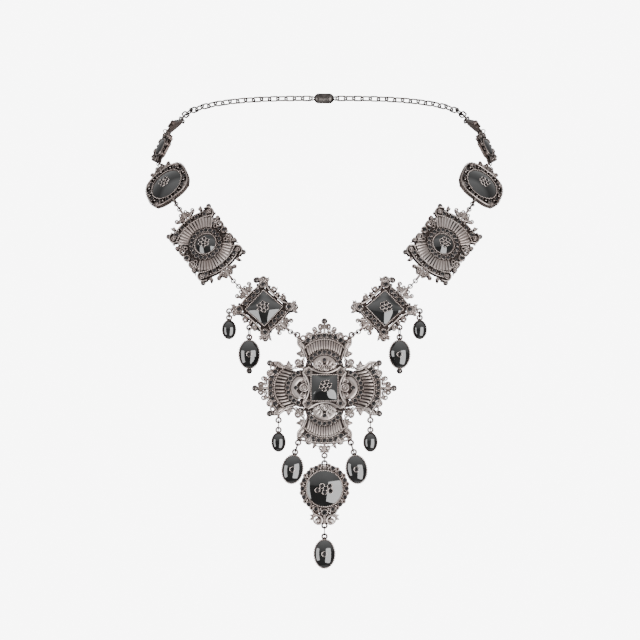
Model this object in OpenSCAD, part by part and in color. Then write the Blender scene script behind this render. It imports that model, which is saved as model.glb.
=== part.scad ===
/* [Castings] */
// Thickness of the pierced plate under every casting
plate_t = 1.2; // [1:0.1:1.4]
// Height of the ribs, rims and collars above that plate
relief_t = 0.8; // [0.5:0.1:1]
// Width of the raised rims and scrolls
rim_w = 0.6; // [0.5:0.05:0.7]
// Number of flutes in the top and bottom fans of the cross
fan_ribs = 15; // [11:2:17]
// Number of flutes in its side fans
side_ribs = 11; // [9:2:13]
// How far the cross leans back from upright, in degrees
chest_tilt = 15; // [12:1:17]

/* [Stones] */
// Diameter of one small crystal
crystal_d = 1.7; // [1.5:0.1:1.8]
// Side of the square stones
square_side = 11.6; // [11:0.1:11.8]
// Height of the domes above their bezels
dome_h = 2; // [1.5:0.1:2.4]
// Diameter of the round stone in the main drop
main_stone_d = 16; // [15:0.1:16.2]
// Diameter of the round stones in the fan links
fan_stone_d = 9.6; // [9:0.1:9.8]
// Diameter of the round stones in the shoulder links
shoulder_stone_d = 15.8; // [15:0.1:16]

/* [Rings and chain] */
// Wire of the jump rings
ring_wire = 0.5; // [0.4:0.05:0.55]
// Wire of the cast eyes that the rings pass through
eye_wire = 0.6; // [0.5:0.05:0.65]
// Wire of the chain behind the neck
chain_wire = 0.8; // [0.7:0.05:0.85]
// Outer length of one chain link
chain_link = 6; // [5.8:0.1:6.2]
// Diameter of the barrel clasp
clasp_d = 5; // [4:0.5:6]

/* [Hidden] */
$fn = 32;

metal = [0.42, 0.38, 0.37];
dark_metal = [0.33, 0.3, 0.3];
jet = [0.05, 0.05, 0.06];
hematite = [0.16, 0.16, 0.18];

top_z = plate_t + relief_t;
lip = 0.12; // edge of plate left showing around each hole
gap = 0.05; // play between a stone and its seat
seat_r = crystal_d / 2 + gap;
collar_w = 0.3;
crystal_h = 0.95;
bezel_w = 0.45;
small_eye = 0.95; // centre-line radius of the eyes on the castings
drop_eye = 1.1; // centre-line radius of the eyes on the drops
eye_z = plate_t / 2;
main_eye_z = 1; // straight over the main drop's centre of mass
bead_r = 1.35;

// Points and outlines in a plane
function polar(c, r, a) = [c[0] + r * cos(a), c[1] + r * sin(a)];
function arc(c, r, a0, a1, n = 8) = [for (i = [0:n]) polar(c, r, a0 + (a1 - a0) * i / n)];
function spread(n, a0, a1) = [for (i = [0:n - 1]) a0 + (a1 - a0) * i / (n - 1)];
function oval(a, b, n = 32) = [for (i = [0:n - 1]) [a * cos(360 * i / n), b * sin(360 * i / n)]];
function normal2(p, i) =
    let (d = p[min(i + 1, len(p) - 1)] - p[max(i - 1, 0)]) [-d[1], d[0]] / norm(d);
function ribbon(p, w) = let (m = len(p) - 1) concat(
    [for (i = [0:m]) p[i] + normal2(p, i) * w / 2],
    [for (i = [m:-1:0]) p[i] - normal2(p, i) * w / 2]);
function rounded(a, n = 48) = [for (i = [0:n - 1]) let (c = cos(360 * i / n), s = sin(360 * i / n))
    a / pow(pow(abs(c), 3) + pow(abs(s), 3), 1 / 3) * [c, s]];
function both(p) = concat(p, [for (q = p) [-q[0], q[1]]]);
function four(p) = concat(both(p), both([for (q = p) [q[0], -q[1]]]));

// Places in space: a piece's own x runs across it, y towards the neck and z out from the body
function unit(v) = v / norm(v);
function place_of(c, up, out) =
    let (y = unit(up), z = unit(out - (out * y) * y)) [c, cross(y, z), y, z];
function at(f, p) = f[0] + p[0] * f[1] + p[1] * f[2] + p[2] * f[3];
module place(f) {
    multmatrix([
        [f[1][0], f[2][0], f[3][0], f[0][0]],
        [f[1][1], f[2][1], f[3][1], f[0][1]],
        [f[1][2], f[2][2], f[3][2], f[0][2]],
        [0, 0, 0, 1]
    ]) children();
}

// The worn line, right half: where the rings between the links hang
cross_mid = [0, -137, -140];
joint_square = [40.3, -119, -92.7];
joint_fan = [67.7, -95, -56.8];
joint_shoulder = [77.2, -70, -36.8];
joint_oval = [74.5, -52, -19.5];
joint_end = [67.4, -34, -13.6];
ring_reach = 1.8;

cross_at = place_of(cross_mid, [0, sin(chest_tilt), cos(chest_tilt)], [0, -1, 0]);
cross_eyes = [12.3, 25];
cross_side_eye = [20.6, -14.6];
cross_low_eye = [11.8, -25];
cross_foot = [0, -30.9];
cross_eye_w = at(cross_at, [cross_eyes[0], cross_eyes[1], eye_z]);
joint_cross = cross_eye_w + ring_reach * unit([2, 1, 0]);

function link_at(p, q, out) = place_of((p + q) / 2, q - p, out);
function half_len(p, q) = norm(q - p) / 2 - ring_reach;
square_at = link_at(joint_cross, joint_square, [0.2, -0.9, 0.35]);
fan_at = link_at(joint_square, joint_fan, [0.35, -0.8, 0.45]);
shoulder_at = link_at(joint_fan, joint_shoulder, [0.5, -0.7, 0.5]);
oval_at = link_at(joint_shoulder, joint_oval, [0.8, -0.35, 0.45]);
end_at = link_at(joint_oval, joint_end, [0.85, 0.1, 0.5]);
square_half = half_len(joint_cross, joint_square);
fan_half = half_len(joint_square, joint_fan);
shoulder_half = half_len(joint_fan, joint_shoulder);
oval_half = half_len(joint_shoulder, joint_oval);
end_half = half_len(joint_oval, joint_end);

square_side_eye = [10.9, -0.8];
square_corner_eye = [11.4, 11.6];

// Drops: how far each one's eye stands above its middle, and the fall from eye to eye
big_a = 4.9;
big_b = 6.65;
small_a = 3.25;
small_b = 4.4;
big_eye = big_b + 1.1;
small_eye_up = small_b + 1;
fall = 4.4;
short_fall = 3;
down = [0, 0, -1];
front = [0, -1, 0];
function hung(from, turn, len, fall) =
    let (d = [sin(turn), 0, -cos(turn)]) place_of(from + fall * unit([d[0] * 2, 0, d[2]]) + d * len
        - front * eye_z, -d, front);

cross_drop_at = hung(at(cross_at, [cross_low_eye[0], cross_low_eye[1], eye_z]), 9, big_eye, fall);
cross_small_at = hung(at(cross_at, [cross_side_eye[0], cross_side_eye[1], eye_z]), 0,
    small_eye_up, fall);
link_drop_at = hung(at(square_at, [square_side_eye[0], square_side_eye[1], eye_z]), 0,
    big_eye, fall);
link_small_at = hung(at(square_at, [square_corner_eye[0], square_corner_eye[1], eye_z]), 0,
    small_eye_up, short_fall);

// The main drop swings on the lowest point of the eye at the foot of the cross
hinge = at(cross_at, [0, cross_foot[1] - small_eye, eye_z]);
main_ring_r = 1.35;
hang = main_ring_r - ring_wire / 2 - eye_wire / 2 - 0.04;
main_eye_w = hinge + (2 * hang + small_eye) * down;
main_eye_up = 11.3;
main_low_eye = -16.6;
main_at = place_of(main_eye_w + main_eye_up * down - front * main_eye_z, -down, front);
foot_ring_r = 2;
foot_hang = foot_ring_r - ring_wire / 2 - eye_wire / 2 - 0.04;
foot_eye_w = at(main_at, [0, main_low_eye, main_eye_z])
    + (small_eye + 2 * foot_hang + drop_eye) * down;
foot_at = place_of(foot_eye_w + big_eye * down - front * main_eye_z, -down, front);

// Flat shapes that the castings are drawn with
module dot(c, r, n = 10) { translate(c) circle(r, $fn = n); }
module dots(list, r, n = 8) { for (c = list) dot(c, r, n); }
module band(p, w = rim_w) { polygon(ribbon(p, w)); }
module hoop(c, r, w = rim_w, n = 12) {
    difference() { dot(c, r + w / 2, n); dot(c, r - w / 2, n); }
}
module mirror_x() { children(); mirror([1, 0]) children(); }
module mirror_y() { children(); mirror([0, 1]) children(); }
module leaf(c, a, len = 2.4, w = 1) {
    translate(c) rotate(a) polygon([[0, -w / 2], [len * 0.5, -w * 0.6], [len, 0],
        [len * 0.5, w * 0.6], [0, w / 2]]);
}
module volute(c, r) { hoop(c, r - rim_w / 2); }

// A casting: raised shape, plain field, holes through both, and pockets for the crystals
module casting(seats = []) {
    linear_extrude(plate_t) offset(delta = 0.001) difference() {
        union() {
            children(1);
            dots(seats, seat_r + collar_w / 2);
        }
        children(2);
    }
    linear_extrude(top_z) offset(delta = 0.001) difference() {
        union() {
            difference() { children(0); offset(delta = lip) children(2); }
            dots(seats, seat_r + collar_w);
        }
        dots(seats, seat_r);
    }
}
module eye(c, r = small_eye, z = eye_z) {
    translate([c[0], c[1], z]) rotate_extrude() translate([r, 0]) circle(eye_wire / 2);
}
module bead(c, z = plate_t) { translate([c[0], c[1], z]) sphere(bead_r); }

// Stones
module crystals(seats) {
    for (c = seats) translate([c[0], c[1], plate_t + gap]) crystal();
}
function hundredths(v) = round(v * 100) / 100;
module crystal(r = crystal_d / 2, h = crystal_h, n = 8) {
    low = [for (i = [0:n - 1])
        [hundredths(r * cos(360 * i / n)), hundredths(r * sin(360 * i / n)), 0]];
    table = [for (p = low) [p[0] / 2, p[1] / 2, h]];
    polyhedron(
        points = concat(low, table),
        faces = concat([[for (i = [0:n - 1]) i]], [[for (i = [n - 1:-1:0]) n + i]],
            [for (i = [0:n - 1]) [i, n + i, n + (i + 1) % n, (i + 1) % n]]));
}
module round_stone(d) {
    rise = dome_h;
    r = (d * d / 4 + rise * rise) / (2 * rise);
    translate([0, 0, plate_t + gap]) cylinder(h = relief_t, d = d);
    translate([0, 0, top_z + gap + rise - r]) intersection() {
        sphere(r);
        translate([0, 0, r - rise]) cylinder(h = rise + 1, d = d * 0.998);
    }
}
module square_stone(s) {
    r = s * 1.05;
    translate([0, 0, plate_t + gap]) intersection() {
        translate([-s / 2, -s / 2, 0]) cube([s, s, relief_t + dome_h + 1]);
        translate([0, 0, relief_t + dome_h - r]) sphere(r);
    }
}
module oval_stone(a, b, h, z0) {
    steps = 4;
    n = 16;
    rings = [for (k = [0:steps - 1]) let (t = 90 * k / steps) [cos(t), sin(t)]];
    base = [for (i = [0:n - 1]) [a * cos(360 * i / n), b * sin(360 * i / n), 0]];
    dome = [for (k = [0:steps - 1]) for (p = base)
        [p[0] * rings[k][0], p[1] * rings[k][0], 0.9 + h * rings[k][1]]];
    layers = concat([[for (i = [0:n - 1]) i]],
        [for (k = [0:steps - 1]) for (i = [0:n - 1]) let (j = (i + 1) % n)
            [k * n + i, (k + 1) * n + i, (k + 1) * n + j, k * n + j]],
        [for (i = [0:n - 1]) [steps * n + i, (steps + 1) * n, steps * n + (i + 1) % n]]);
    translate([0, 0, z0]) polyhedron(
        points = concat(base, dome, [[0, 0, 0.9 + h]]), faces = layers);
}

// One fan arm of the cross, its axis along y
inner_c = [0, 9];
inner_r = 7.6;
outer_c = [0, 10.8];
outer_r = 13.5;
arm_seats = concat(
    [for (a = spread(9, 22, 158)) polar(inner_c, inner_r, a)],
    [for (a = spread(7, 57, 123)) polar(outer_c, outer_r, a)],
    [[0, 12.9]]);
module arm_relief(ribs) {
    for (a = spread(ribs, 42, 138))
        band([polar(inner_c, 8.9, a), polar(outer_c, 11.3, a * 0.9 + 9)], 9.6 / ribs);
    band(arc(outer_c, 11.8, 38, 142, 10), 0.7);
    band(arc([0, -8], 33.4, 69, 111, 6), rim_w);
    band(arc([0, 14.1], 7.3, 222, 318, 8), 0.7);
    mirror_x() {
        band([[9.4, 18], [8.4, 16], [7.8, 13.4]], 0.5);
        band([[12.1, 23.4], [12, 20.5], [10.5, 18.6], [9.3, 16.4], [9.1, 14.2],
            [10.4, 12.6]], rim_w);
        band([[8.2, 23], [10, 21.6], [11.6, 22]], 0.5);
        volute([7.2, 24.2], 1.25);
        leaf([9.2, 15.4], 8, 3.4);
        leaf([3.9, 25.6], 55, 2.6);
        dot([3.3, 9.3], 0.8, 6);
    }
    hoop([0, 9.3], 1.2, 0.5, 8);
}
module arm_field() {
    translate([-7.5, 5]) square([15, 10]);
    dot(inner_c, 8.8, 24);
    polygon(concat([[7.6, 12]], arc(outer_c, 12.2, 36, 144, 10), [[-7.6, 12]]));
    polygon(concat(arc(outer_c, 12, 60, 120, 6), arc([0, -8], 33.4, 108, 72, 6)));
    mirror_x() polygon([[7, 18], [9.6, 17.6], [11.8, 20.6], [12, 24], [7, 24.6]]);
}
module arm_gaps() {
    mirror_x() {
        dot([9.6, 23.4], 0.75, 8);
        polygon([[4.6, 10.9], [5.6, 11.2], [5.3, 12.1]]);
        dot([7.2, 24.2], 0.4, 6);
    }
}
module finial() {
    mirror_x() volute([1.75, 28.5], 1.25);
    band([[0, 25], [0, 30.4]], 1.1);
}
module foot() {
    mirror_x() {
        volute([1.5, 27.6], 1.05);
        leaf([0.6, 28.8], 20, 1.6, 0.8);
    }
    band([[0, 25], [0, 30]], 1.1);
}
module four_turns() { for (a = [0, 90, 180, 270]) rotate(a) children(); }
module two_turns(a) { for (t = [a, a + 180]) rotate(t) children(); }
cross_seats = concat(
    [for (p = arm_seats) for (q = [p, -p, [p[1], -p[0]], [-p[1], p[0]]]) q],
    four([[7.2, 7.2]]));
module cross_relief() {
    difference() {
        union() {
            two_turns(0) arm_relief(fan_ribs);
            two_turns(90) arm_relief(side_ribs);
            for (a = [0, 90, -90]) rotate(a) finial();
            rotate(180) foot();
            square(square_side + 2 * gap + 2 * bezel_w, center = true);
            mirror_x() mirror_y() {
                band([[8.6, 8.6], [11, 11.2]], 0.9);
                volute([11.9, 12.1], 1.5);
                band([[5.2, 8.8], [7.2, 9.4], [8.8, 8.6], [9.6, 6.8], [9, 4.8]], 0.5);
            }
            mirror_x() band([[cross_side_eye[0], -12], [cross_side_eye[0], -13.6]], 1.2);
        }
        square(square_side + 2 * gap, center = true);
    }
}
module cross_field() {
    four_turns() arm_field();
    square(20.6, center = true);
}
module cross_gaps() {
    four_turns() arm_gaps();
    mirror_x() mirror_y() dot([10.1, 8.9], 0.42, 6);
}
module cross_frame() {
    color(metal) place(cross_at) {
        casting(cross_seats) { cross_relief(); cross_field(); cross_gaps(); }
        for (s = [-1, 1]) {
            eye([s * cross_eyes[0], cross_eyes[1]]);
            eye([s * cross_side_eye[0], cross_side_eye[1]]);
            eye([s * cross_low_eye[0], cross_low_eye[1]]);
            bead([s * 31.2, 0]);
            bead([s * 24.6, 11.7]);
            bead([s * 24.6, -11.7]);
        }
        bead([0, 31.2]);
        eye(cross_foot);
    }
}
module cross_stone() { color(jet) place(cross_at) square_stone(square_side); }
module cross_crystals() { color(hematite) place(cross_at) crystals(cross_seats); }

// The link with the square stone
square_seats = concat(
    [for (x = [-3.75, -1.25, 1.25, 3.75]) for (s = [-1, 1]) [x, s * 7.85]],
    four([[7.9, 8.3]]));
module fleur(y0, y1, turn = 35, len = 3.2) {
    mirror_x() {
        volute([1.7, y0 + 1.5], 1.2);
        leaf([1.2, y0 + 0.4], turn, len);
    }
    band([[0, y0 - 1], [0, y1]], 1.1);
}
module square_relief() {
    difference() {
        union() {
            square(square_side + 2 * gap + 2 * bezel_w, center = true);
            mirror_y() {
                band([[-6, 9.35], [0, 9.9], [6, 9.35]], 0.5);
                fleur(10.4, square_half - 0.9, 38, 4.2);
                mirror_x() {
                    volute([9.9, 10], 1.4);
                    leaf([8.2, 10.6], 75, 2.4);
                    leaf([10.2, 8.4], 10, 1.8);
                    band([[6.2, 9.4], [7.9, 10], [9.4, 9.4], [10, 7.6], [8.8, 6]], 0.5);
                    volute([9.5, 3], 1.25);
                }
            }
            mirror_x() {
                band([[8.6, 6.6], [7.9, 4], [7.7, 0], [7.9, -4], [8.6, -6.6]], 0.7);
                band([[7.7, 0], [9.7, 0]], 0.9);
            }
        }
        square(square_side + 2 * gap, center = true);
    }
}
module square_field() {
    square([14.4, 18.6], center = true);
    four_lobes(8.6, 8.9, 2.2);
    mirror_x() polygon([[7, -6.4], [8.6, -6.4], [9.6, -3], [9.4, 3], [8.6, 6.4], [7, 6.4]]);
}
module four_lobes(x, y, r) { mirror_x() mirror_y() dot([x, y], r, 16); }
module square_gaps() {
    mirror_x() mirror_y() {
        polygon([[7.15, 1], [7.4, 1], [7.5, 4.6], [7.15, 4.6]]);
        dot([8.7, 1.5], 0.42, 6);
    }
}
module square_link() {
    color(metal) place(square_at) {
        casting(square_seats) { square_relief(); square_field(); square_gaps(); }
        eye([0, square_half]);
        eye([0, -square_half]);
        eye(square_side_eye);
        eye(square_corner_eye);
        bead([-7.4, 12.2]);
    }
}
module square_link_stone() { color(jet) place(square_at) square_stone(square_side); }
module square_link_crystals() { color(hematite) place(square_at) crystals(square_seats); }

// The link with two fans round a small stone
fan_row_c = [0, -5];
fan_seats = concat(
    [for (a = concat(spread(7, 38, 142), spread(7, 218, 322))) polar([0, 0], 6.9, a)],
    [for (a = spread(5, 66, 114)) for (s = [-1, 1]) let (p = polar(fan_row_c, 19.6, a))
        [p[0], s * p[1]]],
    [[10.8, 0], [-10.8, 0]]);
module fan_relief() {
    difference() {
        union() {
            hoop([0, 0], fan_stone_d / 2 + gap + bezel_w / 2, bezel_w, 32);
            mirror_y() {
                for (a = spread(13, 40, 140)) band([polar([0, 0], 8.3, a),
                    polar([0, 0], 13.2, 90 + (a - 90) * 0.94)], 0.7);
                band(arc(fan_row_c, 18.2, 57, 123, 12), 0.6);
                band(arc(fan_row_c, 21, 64, 116, 10), 0.5);
                fleur(17, fan_half - 0.9, 15, 4.2);
                mirror_x() {
                    band([[9.9, 10.2], [7.4, 6.4]], 0.5);
                    band([[9.7, 9.6], [11.5, 10.8], [12.1, 12.6], [11.3, 14.7], [9.2, 15.6]], rim_w);
                    volute([10.2, 12.7], 1.2);
                    volute([10.7, 4.2], 1.7);
                    volute([11.7, 7.3], 1);
                    leaf([7.2, 16], 50, 2.4);
                }
            }
        }
        dot([0, 0], fan_stone_d / 2 + gap, 32);
    }
}
module fan_field() {
    dot([0, 0], 8.4, 28);
    mirror_y() polygon(concat([[6, 5.4]], arc(fan_row_c, 18.6, 56, 124, 12), [[-6, 5.4]]));
    mirror_y() polygon(concat(arc(fan_row_c, 18, 62, 118, 10), arc(fan_row_c, 21, 118, 62, 10)));
    mirror_y() mirror_x() polygon([[8, 9], [9.8, 9.4], [11.9, 12.2], [10.9, 14.9], [8, 15.6]]);
    square([21.6, 5], center = true);
    mirror_y() mirror_x() polygon([[6, 2], [10.6, 2], [11.6, 4.4], [11.4, 7.6], [9.8, 9.4], [6, 7]]);
}
module fan_gaps() {
    mirror_x() mirror_y() {
        dot([10.7, 4.2], 0.5, 8);
        dot([9.2, 1.9], 0.42, 6);
        dot([9.3, 6.6], 0.5, 8);
        dot([8.5, 14.1], 0.45, 6);
    }
}
module fan_link() {
    color(metal) place(fan_at) {
        casting(fan_seats) { fan_relief(); fan_field(); fan_gaps(); }
        eye([0, fan_half]);
        eye([0, -fan_half]);
        for (x = [-1, 1]) for (y = [-1, 1]) translate([x * 11.6, y * 15.3, plate_t]) sphere(1.15);
    }
}
module fan_link_stone() { color(jet) place(fan_at) round_stone(fan_stone_d); }
module fan_link_crystals() { color(hematite) place(fan_at) crystals(fan_seats); }

// The link at the side of the neck, with its round stone
shoulder_seats = [for (i = [0:11]) polar([0, 0], 9.75, 15 + 30 * i)];
module shoulder_relief() {
    difference() {
        union() {
            difference() {
                polygon(rounded(11.1));
                polygon(rounded(10.4));
            }
            dot([0, 0], shoulder_stone_d / 2 + gap + bezel_w, 32);
            mirror_x() mirror_y() {
                volute([8.3, 8.3], 1.05);
                leaf([8.4, 6.2], 70, 1.8);
                leaf([6.2, 8.4], 20, 1.8);
            }
            fleur(11.4, shoulder_half - 0.9, 12, 4.4);
            band([[0, -10.8], [0, 0.9 - shoulder_half]], 1.1);
        }
        dot([0, 0], shoulder_stone_d / 2 + gap, 32);
    }
}
module shoulder_field() {
    polygon(rounded(10.9));
}
module shoulder_gaps() {
    mirror_x() mirror_y() {
        dot([8.3, 8.3], 0.4, 8);
        dot([9.7, 4.4], 0.42, 6);
        dot([4.4, 9.7], 0.42, 6);
    }
}
module shoulder_link() {
    color(metal) place(shoulder_at) {
        casting(shoulder_seats) { shoulder_relief(); shoulder_field(); shoulder_gaps(); }
        eye([0, shoulder_half]);
        eye([0, -shoulder_half]);
    }
}
module shoulder_link_stone() { color(jet) place(shoulder_at) round_stone(shoulder_stone_d); }
module shoulder_link_crystals() {
    color(hematite) place(shoulder_at) crystals(shoulder_seats);
}

// The small link with an oval stone above it
oval_a = 3.4;
oval_b = 4.4;
oval_bezel_w = 0.9;
oval_rise = 1;
module oval_relief() {
    difference() {
        union() {
            polygon(oval(oval_a + gap + oval_bezel_w, oval_b + gap + oval_bezel_w));
            for (i = [0:7]) let (a = 22.5 + 45 * i)
                volute([6.3 * cos(a), 7.2 * sin(a)], 1.3);
            mirror_y() band([[0, 7], [0, oval_half - 0.9]], 1.1);
            mirror_x() leaf([6.6, 0], 0, 1.8);
        }
        polygon(oval(oval_a + gap, oval_b + gap));
    }
}
module oval_field() { polygon(oval(6.9, 7.9)); }
module oval_gaps() {
    for (a = [0, 45, 135, 180, 225, 315]) dot([5.9 * cos(a), 6.8 * sin(a)], 0.4, 6);
}
module oval_link() {
    color(metal) place(oval_at) {
        casting() { oval_relief(); oval_field(); oval_gaps(); }
        eye([0, oval_half]);
        eye([0, -oval_half]);
        eye([7.9, 3.4]);
    }
}
module oval_link_stone() {
    color(jet) place(oval_at) oval_stone(oval_a, oval_b, oval_rise, plate_t + gap);
}

// The tapered link that the chain starts from
module end_link() {
    color(metal) place(end_at) {
        casting() {
            union() {
                mirror_x() {
                    band([[1, -end_half + 1.4], [2.5, -3.6], [2.2, 0], [0.7, end_half - 1]], rim_w);
                    volute([2.9, -4.4], 1.1);
                }
                dot([0, -2.6], 1.5);
                band([[0, -2], [0, end_half - 1]], 0.7);
            }
            polygon([[-1, -end_half + 0.9], [1, -end_half + 0.9], [2.6, -3.6], [2.3, 0],
                [0.7, end_half - 0.9], [-0.7, end_half - 0.9], [-2.3, 0], [-2.6, -3.6]]);
            mirror_x() dot([1.35, 1], 0.35, 6);
        }
        eye([0, end_half]);
        eye([0, -end_half]);
    }
}

// Drops
drop_floor = 0.8;
bezel_teeth = 30;
tooth = 0.22;
module drop_frame(a, b, eye_up, wall, outline, z = eye_z) {
    difference() {
        linear_extrude(wall) polygon(outline);
        translate([0, 0, drop_floor]) linear_extrude(wall)
            polygon(oval(a - bezel_w + gap, b - bezel_w + gap, 24));
    }
    eye([0, eye_up], drop_eye, z);
}
module big_drop(ball = false, z = eye_z) {
    saw = [for (i = [0:2 * bezel_teeth - 1]) let (t = 180 * i / bezel_teeth,
        k = i % 2 == 1 ? 0 : tooth) [(big_a - k) * cos(t), (big_b - k) * sin(t)]];
    color(metal) {
        drop_frame(big_a, big_b, big_eye, 2, saw, z);
        if (ball) translate([0, -big_b - 0.9, 1]) sphere(bead_r);
    }
}
module big_drop_stone() {
    color(jet) oval_stone(big_a - bezel_w, big_b - bezel_w, 2.2, drop_floor + gap);
}
module small_drop() {
    color(dark_metal) drop_frame(small_a, small_b, small_eye_up, 1.5, oval(small_a, small_b));
}
module small_drop_stone() {
    color(jet) oval_stone(small_a - bezel_w, small_b - bezel_w, 1.3, drop_floor + gap);
}

// The main drop
main_seats = concat(
    [for (i = [0:15]) if (i != 4 && i != 12) polar([0, 0], 9.85, 22.5 * i)], [[0, -10.7]]);
module main_relief() {
    difference() {
        union() {
            dot([0, 0], main_stone_d / 2 + gap + bezel_w, 32);
            mirror_x() {
                volute([3, -13.9], 2.3);
                volute([2.5, -14.7], 1.2);
                leaf([4.6, -12.4], 15, 2.2);
                leaf([5, -13.4], -15, 1.8);
            }
            band([[0, -12], [0, -15.8]], 1);
            band([[0, 9], [0, main_eye_up - 0.8]], 1.6);
        }
        dot([0, 0], main_stone_d / 2 + gap, 32);
    }
}
module main_field() {
    dot([0, 0], 9.6, 32);
    polygon([[-5.6, -9], [-4.4, -12.6], [-2.6, -15.6], [2.6, -15.6], [4.4, -12.6], [5.6, -9]]);
}
module main_gaps() {
    mirror_x() {
        dot([2.5, -14.7], 0.45, 6);
        dot([2.3, -11], 0.4, 6);
        dot([3.6, -12.9], 0.45, 6);
    }
}
module main_drop() {
    color(metal) place(main_at) {
        casting(main_seats) { main_relief(); main_field(); main_gaps(); }
        eye([0, main_eye_up], small_eye, main_eye_z);
        eye([0, main_low_eye], small_eye, main_eye_z);
    }
}
module main_drop_stone() { color(jet) place(main_at) round_stone(main_stone_d); }
module main_drop_crystals() { color(hematite) place(main_at) crystals(main_seats); }
module foot_drop() { place(foot_at) big_drop(z = main_eye_z); }
module foot_drop_stone() { place(foot_at) big_drop_stone(); }

// Jump rings
module ring(c, r, axis_up, axis) {
    place(place_of(c, axis_up, axis)) rotate_extrude() translate([r, 0]) circle(ring_wire / 2);
}
// A ring through two eyes, standing square to the pieces that it joins
module joining_ring(p, q, out) {
    d = q - p;
    ring((p + q) / 2, norm(d) / 2, d, cross(d, out));
}
module main_ring() { color(metal) ring(hinge + hang * down, main_ring_r, [0, 0, 1], [1, 0, 0]); }
module foot_ring() {
    low_eye = at(main_at, [0, main_low_eye, main_eye_z]);
    color(metal) ring(low_eye + (small_eye + foot_hang) * down, foot_ring_r, [0, 0, 1], [1, 0, 0]);
}
function eye_of(f, y) = at(f, [0, y, eye_z]);
module rings() {
    color(metal) {
        joining_ring(cross_eye_w, eye_of(square_at, -square_half), square_at[3]);
        joining_ring(eye_of(square_at, square_half), eye_of(fan_at, -fan_half), fan_at[3]);
        joining_ring(eye_of(fan_at, fan_half), eye_of(shoulder_at, -shoulder_half), shoulder_at[3]);
        joining_ring(eye_of(shoulder_at, shoulder_half), eye_of(oval_at, -oval_half), oval_at[3]);
        joining_ring(eye_of(oval_at, oval_half), eye_of(end_at, -end_half), end_at[3]);
        joining_ring(at(cross_at, [cross_low_eye[0], cross_low_eye[1], eye_z]),
            eye_of(cross_drop_at, big_eye), cross_at[3]);
        joining_ring(at(cross_at, [cross_side_eye[0], cross_side_eye[1], eye_z]),
            eye_of(cross_small_at, small_eye_up), cross_at[3]);
        joining_ring(at(square_at, [square_side_eye[0], square_side_eye[1], eye_z]),
            eye_of(link_drop_at, big_eye), square_at[3]);
        joining_ring(at(square_at, [square_corner_eye[0], square_corner_eye[1], eye_z]),
            eye_of(link_small_at, small_eye_up), square_at[3]);
    }
}

// Chain: links spaced evenly along a quarter of a flattened round, from the end link to the clasp
chain_steps = 90;
clasp_len = 10;
clasp_eye = clasp_len / 2 + 0.9;
nape = [clasp_eye + 0.7, clasp_d / 2, 0];
chain_from = eye_of(end_at, end_half) + ring_reach * unit([0, 9, 4]);
function chain_point(t) = [
    nape[0] + (chain_from[0] - nape[0]) * cos(90 * t),
    nape[1] + (chain_from[1] - nape[1]) * (1 - sin(90 * t)),
    chain_from[2] * pow(1 - sin(90 * t), 1.2)];
chain_path = [for (i = [0:chain_steps]) chain_point(i / chain_steps)];
chain_run = [for (i = 0, s = 0; i <= chain_steps; i = i + 1,
    s = s + (i <= chain_steps ? norm(chain_path[i] - chain_path[i - 1]) : 0)) s];
bend_r = 1.4;
straight = chain_link - 2 * bend_r - chain_wire;
first_link = 0.8; // from the start of the path to the middle of the first chain link
last_link = chain_run[chain_steps] - 1.9;
links = 1 + ceil((last_link - first_link) / (chain_link - 2 * chain_wire - 0.1));
pitch = (last_link - first_link) / (links - 1);
clasp_turn = links % 2 == 0 ? 45 : -45; // square to the last chain link
function on_chain(s) = let (
    i = max([for (k = [0:chain_steps - 1]) if (chain_run[k] <= s) k]),
    f = (s - chain_run[i]) / (chain_run[i + 1] - chain_run[i]))
    chain_path[i] + f * (chain_path[i + 1] - chain_path[i]);
module chain_ring() {
    for (s = [0, 180]) rotate(s) {
        translate([0, straight / 2, 0]) rotate_extrude(angle = 180) translate([bend_r, 0])
            circle(chain_wire / 2);
        translate([bend_r, -straight / 2, 0]) rotate([-90, 0, 0])
            cylinder(h = straight, d = chain_wire);
    }
}
module chain() {
    color(dark_metal) for (k = [0:links - 1]) {
        s = first_link + k * pitch;
        d = unit(on_chain(s + 0.5) - on_chain(s - 0.5));
        side = unit(cross(d, [0, 0, 1]));
        up = cross(side, d);
        place(place_of(on_chain(s), d, k % 2 == 0 ? up - side : up + side)) chain_ring();
    }
}
module clasp() {
    color(dark_metal) translate([0, clasp_d / 2, 0]) {
        rotate([0, 90, 0]) cylinder(h = clasp_len - clasp_d, d = clasp_d, center = true);
        for (s = [-1, 1]) {
            translate([s * (clasp_len - clasp_d) / 2, 0, 0]) sphere(d = clasp_d);
            translate([s * clasp_eye, 0, 0]) rotate([clasp_turn, 0, 0]) rotate_extrude()
                translate([1.3, 0]) circle(0.35);
        }
    }
}

module left() { mirror([1, 0, 0]) children(); }

cross_frame();
cross_stone();
cross_crystals();
square_link();  // square_link_r
square_link_stone();  // square_link_r_stone
square_link_crystals();  // square_link_r_crystals
left() square_link();  // square_link_l
left() square_link_stone();  // square_link_l_stone
left() square_link_crystals();  // square_link_l_crystals
fan_link();  // fan_link_r
fan_link_stone();  // fan_link_r_stone
fan_link_crystals();  // fan_link_r_crystals
left() fan_link();  // fan_link_l
left() fan_link_stone();  // fan_link_l_stone
left() fan_link_crystals();  // fan_link_l_crystals
shoulder_link();  // shoulder_link_r
shoulder_link_stone();  // shoulder_link_r_stone
shoulder_link_crystals();  // shoulder_link_r_crystals
left() shoulder_link();  // shoulder_link_l
left() shoulder_link_stone();  // shoulder_link_l_stone
left() shoulder_link_crystals();  // shoulder_link_l_crystals
oval_link();  // oval_link_r
oval_link_stone();  // oval_link_r_stone
left() oval_link();  // oval_link_l
left() oval_link_stone();  // oval_link_l_stone
end_link();  // end_link_r
left() end_link();  // end_link_l
place(cross_drop_at) big_drop();  // cross_drop_r
place(cross_drop_at) big_drop_stone();  // cross_drop_r_stone
left() place(cross_drop_at) big_drop();  // cross_drop_l
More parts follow.
